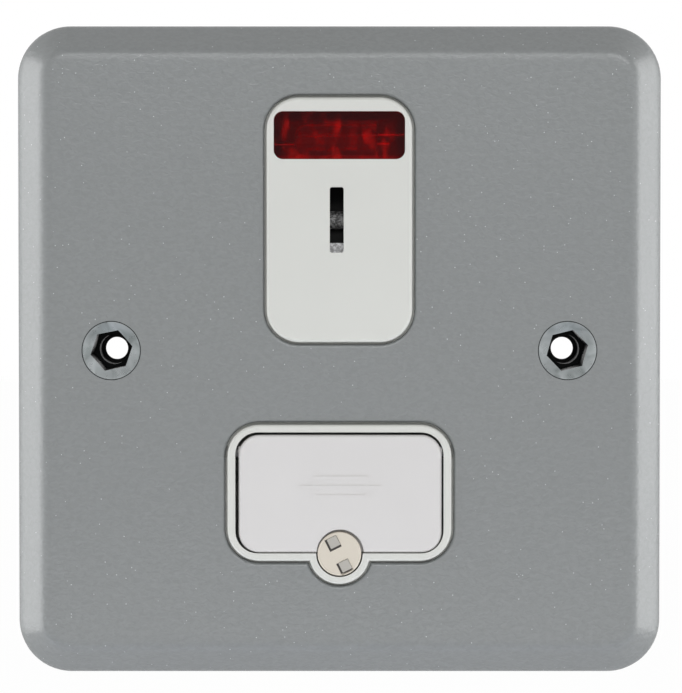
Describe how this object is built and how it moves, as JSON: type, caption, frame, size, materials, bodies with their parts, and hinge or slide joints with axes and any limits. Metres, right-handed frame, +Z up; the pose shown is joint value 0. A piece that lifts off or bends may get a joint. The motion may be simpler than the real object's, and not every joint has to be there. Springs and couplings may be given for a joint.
{
  "type": "fused spur unit",
  "caption": "Square metal-clad fused connection unit with a key-operated switch, red neon window, hinged fuse carrier with latch, and a moulded rear housing.",
  "frame": {"origin": "midway between the two fixing holes, in the plane of the plate's rear rim", "axes": "front faces -Y, +Y goes into the wall, +Z up, +X to the right seen from the front"},
  "size_m": [0.0856, 0.0296, 0.086],
  "materials": {
    "hammered_paint": "hammered metallic paint",
    "zinc": "zinc plated",
    "nylon": "black",
    "white_moulding": "satin",
    "red_lens": "clear red",
    "lamp_glass": "clear",
    "resistor_coat": "lacquered",
    "brass": "plain",
    "silver": "plain",
    "plated_cap": "tin plated",
    "spring_bronze": "plain",
    "steel": "plain",
    "black_moulding": "satin",
    "grey_moulding": "satin",
    "ceramic": "plain",
    "cream_moulding": "satin"
  },
  "bodies": {
    "fixed": {"captive_washer_left": "nylon", "captive_washer_right": "nylon", "clamp_screw_earth": "zinc", "clamp_screw_line_in": "zinc", "clamp_screw_line_out": "zinc", "clamp_screw_neutral_in": "zinc", "clamp_screw_neutral_out": "zinc", "earth_strap": "brass", "fixed_tip_line": "silver", "fixed_tip_neutral": "silver", "fixing_bush_left": "zinc", "fixing_bush_right": "zinc", "front_moulding": "white_moulding", "front_plate": "hammered_paint", "fuse_clip_left": "spring_bronze", "fuse_clip_right": "spring_bronze", "fuse_out_bar": "brass", "housing_screw_bottom_left": "zinc", "housing_screw_bottom_right": "zinc", "housing_screw_top_left": "zinc", "housing_screw_top_right": "zinc", "line_feed_bar": "brass", "line_switched_bar": "brass", "neon_lamp": "lamp_glass", "neon_lead_line": "brass", "neon_lead_neutral": "brass", "neon_lens": "red_lens", "neon_resistor": "resistor_coat", "neutral_feed_bar": "brass", "neutral_switched_bar": "brass", "rear_housing": "grey_moulding", "resistor_lead": "brass", "rocker_pivot_pin": "steel", "switch_front": "white_moulding", "terminal_earth": "brass", "terminal_line_in": "brass", "terminal_line_out": "brass", "terminal_neutral_in": "brass", "terminal_neutral_out": "brass"},
    "rocker": {"key_rocker": "black_moulding", "rocker_wear_pad": "steel", "plunger_left": "black_moulding", "plunger_right": "black_moulding", "plunger_spring_left": "steel", "plunger_spring_right": "steel"},
    "line_contact": {"moving_contact_line": "brass", "moving_tip_line": "silver"},
    "neutral_contact": {"moving_contact_neutral": "brass", "moving_tip_neutral": "silver"},
    "carrier": {"fuse_carrier": "white_moulding", "fuse_body": "ceramic", "fuse_cap_left": "plated_cap", "fuse_cap_right": "plated_cap"},
    "latch": {"latch_head": "cream_moulding", "latch_tongue": "steel"}
  },
  "joints": [
    {"name": "rocker_turn", "type": "hinge", "parent": "fixed", "child": "rocker", "pos_m": [0, -0.0052, 0.01725], "axis": [1, 0, 0], "range_deg": [0, 22]},
    {"name": "line_contact_turn", "type": "hinge", "parent": "fixed", "child": "line_contact", "pos_m": [-0.0065, 0.0064, 0.01725], "axis": [1, 0, 0], "range_deg": [-18, 0]},
    {"name": "neutral_contact_turn", "type": "hinge", "parent": "fixed", "child": "neutral_contact", "pos_m": [0.0065, 0.0064, 0.01725], "axis": [1, 0, 0], "range_deg": [-18, 0]},
    {"name": "carrier_hinge", "type": "hinge", "parent": "fixed", "child": "carrier", "pos_m": [0, -0.0082, -0.01346], "axis": [-1, 0, 0], "range_deg": [0, 70]},
    {"name": "latch_turn", "type": "hinge", "parent": "carrier", "child": "latch", "pos_m": [0, -0.0082, -0.02688], "axis": [0, 1, 0], "range_deg": [0, 90]}
  ],
  "couplings": [
    {"joint": "line_contact_turn", "follows": "rocker_turn", "ratio": -0.81818},
    {"joint": "neutral_contact_turn", "follows": "rocker_turn", "ratio": -0.81818}
  ]
}
